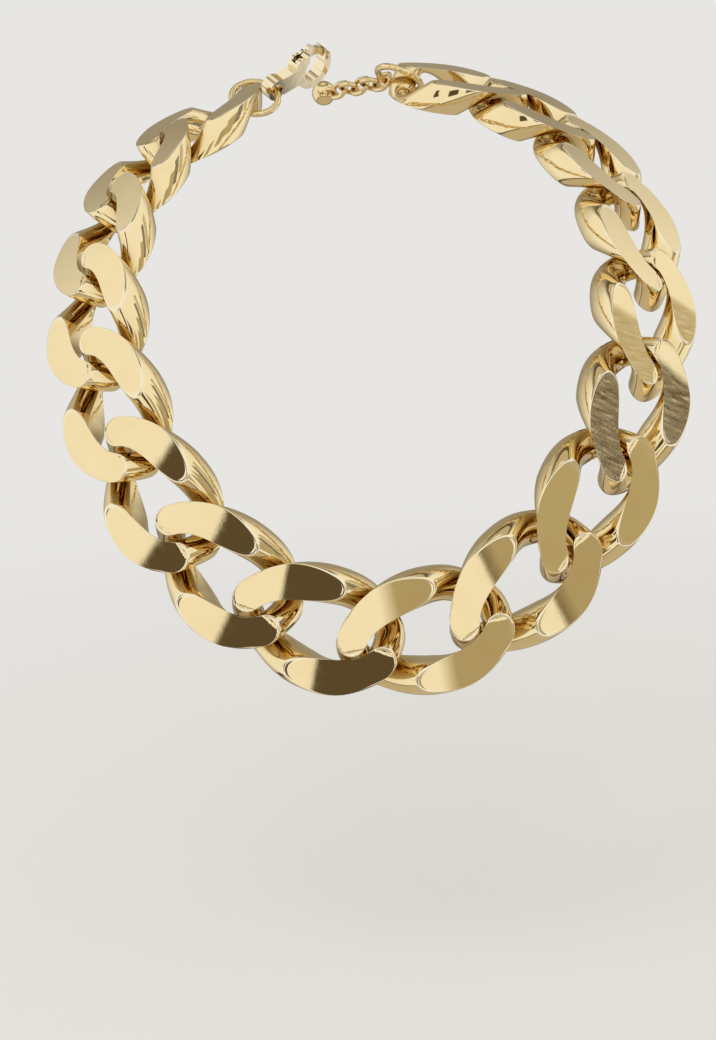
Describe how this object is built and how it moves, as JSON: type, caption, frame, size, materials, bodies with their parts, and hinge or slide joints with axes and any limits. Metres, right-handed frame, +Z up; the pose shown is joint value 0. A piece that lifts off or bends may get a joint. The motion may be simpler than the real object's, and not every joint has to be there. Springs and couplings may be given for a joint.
{
  "type": "curb chain necklace",
  "caption": "Chunky gold curb-link collar necklace draped as worn, with an open lobster clasp and an extender chain.",
  "frame": {"origin": "centre of the neck opening", "axes": "+X to the right of a viewer facing the wearer, +Y from the chest to the nape, +Z up"},
  "size_m": [0.1785, 0.1553, 0.1796],
  "materials": {
    "plated_link": "polished",
    "plated_finding": "polished",
    "spring_steel": "satin"
  },
  "bodies": {
    "link_front": {"link_front": "plated_link"},
    "link_right_1": {"link_right_1": "plated_link"},
    "link_left_1": {"link_left_1": "plated_link"},
    "link_right_2": {"link_right_2": "plated_link"},
    "link_left_2": {"link_left_2": "plated_link"},
    "link_right_3": {"link_right_3": "plated_link"},
    "link_left_3": {"link_left_3": "plated_link"},
    "link_right_4": {"link_right_4": "plated_link"},
    "link_left_4": {"link_left_4": "plated_link"},
    "link_right_5": {"link_right_5": "plated_link"},
    "link_left_5": {"link_left_5": "plated_link"},
    "link_right_6": {"link_right_6": "plated_link"},
    "link_left_6": {"link_left_6": "plated_link"},
    "link_right_7": {"link_right_7": "plated_link"},
    "link_left_7": {"link_left_7": "plated_link"},
    "link_right_8": {"link_right_8": "plated_link"},
    "link_left_8": {"link_left_8": "plated_link"},
    "ring_left": {"ring_left": "plated_finding"},
    "ring_right": {"ring_right": "plated_finding"},
    "clasp": {"clasp_body": "plated_finding", "clasp_pin": "plated_finding", "clasp_spring": "spring_steel"},
    "lever": {"clasp_lever": "plated_finding"},
    "extender_link_1": {"extender_link_1": "plated_finding"},
    "extender_link_2": {"extender_link_2": "plated_finding"},
    "extender_link_3": {"extender_link_3": "plated_finding"},
    "extender_link_4": {"extender_link_4": "plated_finding"},
    "extender_link_5": {"extender_link_5": "plated_finding"},
    "end_drop": {"end_drop": "plated_finding"}
  },
  "joints": [
    {"name": "bend_right_1", "type": "hinge", "parent": "link_front", "child": "link_right_1", "pos_m": [0.02067, -0.04824, -0.07564], "axis": [0.0458, -0.9985, 0.0284], "range_deg": [-22, 2], "stiffness_Nm_per_rad": 3},
    {"name": "bend_left_1", "type": "hinge", "parent": "link_front", "child": "link_left_1", "pos_m": [-0.00705, -0.04962, -0.07929], "axis": [0.0458, -0.9985, 0.0284], "range_deg": [-1, 22], "stiffness_Nm_per_rad": 3},
    {"name": "bend_right_2", "type": "hinge", "parent": "link_right_1", "child": "link_right_2", "pos_m": [0.0435, -0.04211, -0.06063], "axis": [0.2273, -0.9724, 0.0519], "range_deg": [-22, 3], "stiffness_Nm_per_rad": 3},
    {"name": "bend_left_2", "type": "hinge", "parent": "link_left_1", "child": "link_left_2", "pos_m": [-0.03285, -0.04568, -0.06914], "axis": [-0.1375, -0.9899, 0.0343], "range_deg": [-3, 22], "stiffness_Nm_per_rad": 3},
    {"name": "bend_right_3", "type": "hinge", "parent": "link_right_2", "child": "link_right_3", "pos_m": [0.06004, -0.03243, -0.04021], "axis": [0.3795, -0.9165, 0.1266], "range_deg": [-22, 4], "stiffness_Nm_per_rad": 3},
    {"name": "bend_left_3", "type": "hinge", "parent": "link_left_2", "child": "link_left_3", "pos_m": [-0.0525, -0.03768, -0.05087], "axis": [-0.3085, -0.9476, 0.0831], "range_deg": [-4, 22], "stiffness_Nm_per_rad": 3},
    {"name": "bend_right_4", "type": "hinge", "parent": "link_right_3", "child": "link_right_4", "pos_m": [0.07069, -0.01973, -0.01764], "axis": [0.4883, -0.8386, 0.2415], "range_deg": [-22, 5], "stiffness_Nm_per_rad": 3},
    {"name": "bend_left_4", "type": "hinge", "parent": "link_left_3", "child": "link_left_4", "pos_m": [-0.06608, -0.02646, -0.0291], "axis": [-0.4391, -0.8803, 0.1798], "range_deg": [-5, 22], "stiffness_Nm_per_rad": 3},
    {"name": "bend_right_5", "type": "hinge", "parent": "link_right_4", "child": "link_right_5", "pos_m": [0.0753, -0.00432, 0.00527], "axis": [0.5524, -0.7389, 0.3859], "range_deg": [-22, 6], "stiffness_Nm_per_rad": 3},
    {"name": "bend_left_5", "type": "hinge", "parent": "link_left_4", "child": "link_left_5", "pos_m": [-0.07378, -0.01236, -0.00617], "axis": [-0.5263, -0.7917, 0.3102], "range_deg": [-6, 22], "stiffness_Nm_per_rad": 3},
    {"name": "bend_right_6", "type": "hinge", "parent": "link_right_5", "child": "link_right_6", "pos_m": [0.07316, 0.01313, 0.02706], "axis": [0.5603, -0.6187, 0.5506], "range_deg": [-22, 6], "stiffness_Nm_per_rad": 3},
    {"name": "bend_left_6", "type": "hinge", "parent": "link_left_5", "child": "link_left_6", "pos_m": [-0.07513, 0.00419, 0.01637], "axis": [-0.5645, -0.6811, 0.4663], "range_deg": [-6, 22], "stiffness_Nm_per_rad": 3},
    {"name": "bend_right_7", "type": "hinge", "parent": "link_right_6", "child": "link_right_7", "pos_m": [0.06341, 0.03113, 0.04617], "axis": [0.4947, -0.4923, 0.7162], "range_deg": [-22, 8], "stiffness_Nm_per_rad": 3},
    {"name": "bend_left_7", "type": "hinge", "parent": "link_left_6", "child": "link_left_7", "pos_m": [-0.06929, 0.02217, 0.03703], "axis": [-0.5376, -0.5548, 0.6349], "range_deg": [-8, 22], "stiffness_Nm_per_rad": 3},
    {"name": "bend_right_8", "type": "hinge", "parent": "link_right_7", "child": "link_right_8", "pos_m": [0.04578, 0.04711, 0.06094], "axis": [0.3559, -0.3916, 0.8485], "range_deg": [-22, 8], "stiffness_Nm_per_rad": 3},
    {"name": "bend_left_8", "type": "hinge", "parent": "link_left_7", "child": "link_left_8", "pos_m": [-0.05557, 0.03955, 0.05418], "axis": [-0.433, -0.4366, 0.7886], "range_deg": [-8, 22], "stiffness_Nm_per_rad": 3},
    {"name": "ring_left_swing", "type": "hinge", "parent": "link_left_8", "child": "ring_left", "pos_m": [-0.03093, 0.0555, 0.06812], "axis": [0.1178, -0.7505, 0.6503], "range_deg": [-20, 20]},
    {"name": "ring_right_swing", "type": "hinge", "parent": "link_right_8", "child": "ring_right", "pos_m": [0.01755, 0.05946, 0.07127], "axis": [-0.4161, -0.2109, -0.8845], "range_deg": [-20, 20]},
    {"name": "clasp_swing", "type": "hinge", "parent": "ring_left", "child": "clasp", "pos_m": [-0.02403, 0.05996, 0.07202], "axis": [-0.6411, 0.4427, 0.6269], "range_deg": [-45, 45]},
    {"name": "clasp_lever_turn", "type": "hinge", "parent": "clasp", "child": "lever", "pos_m": [-0.01519, 0.06271, 0.07913], "axis": [-0.6411, 0.4427, 0.6269], "range_deg": [0, 24], "stiffness_Nm_per_rad": 0.00001, "springref_deg": -28.65},
    {"name": "extender_swing_1", "type": "hinge", "parent": "ring_right", "child": "extender_link_1", "pos_m": [0.01192, 0.06617, 0.07232], "axis": [0.7217, 0.5151, -0.4624], "range_deg": [-30, 30]},
    {"name": "extender_swing_2", "type": "hinge", "parent": "extender_link_1", "child": "extender_link_2", "pos_m": [0.00866, 0.07107, 0.07269], "axis": [0.4161, 0.2109, 0.8845], "range_deg": [-30, 30]},
    {"name": "extender_swing_3", "type": "hinge", "parent": "extender_link_2", "child": "extender_link_3", "pos_m": [0.00526, 0.07618, 0.07307], "axis": [-0.7217, -0.5151, 0.4624], "range_deg": [-30, 30]},
    {"name": "extender_swing_4", "type": "hinge", "parent": "extender_link_3", "child": "extender_link_4", "pos_m": [0.00185, 0.08129, 0.07345], "axis": [-0.4161, -0.2109, -0.8845], "range_deg": [-30, 30]},
    {"name": "extender_swing_5", "type": "hinge", "parent": "extender_link_4", "child": "extender_link_5", "pos_m": [-0.00155, 0.0864, 0.07383], "axis": [0.7217, 0.5151, -0.4624], "range_deg": [-30, 30]},
    {"name": "drop_swing", "type": "hinge", "parent": "extender_link_5", "child": "end_drop", "pos_m": [-0.00495, 0.09151, 0.07422], "axis": [0.4161, 0.2109, 0.8845], "range_deg": [-35, 35]}
  ]
}
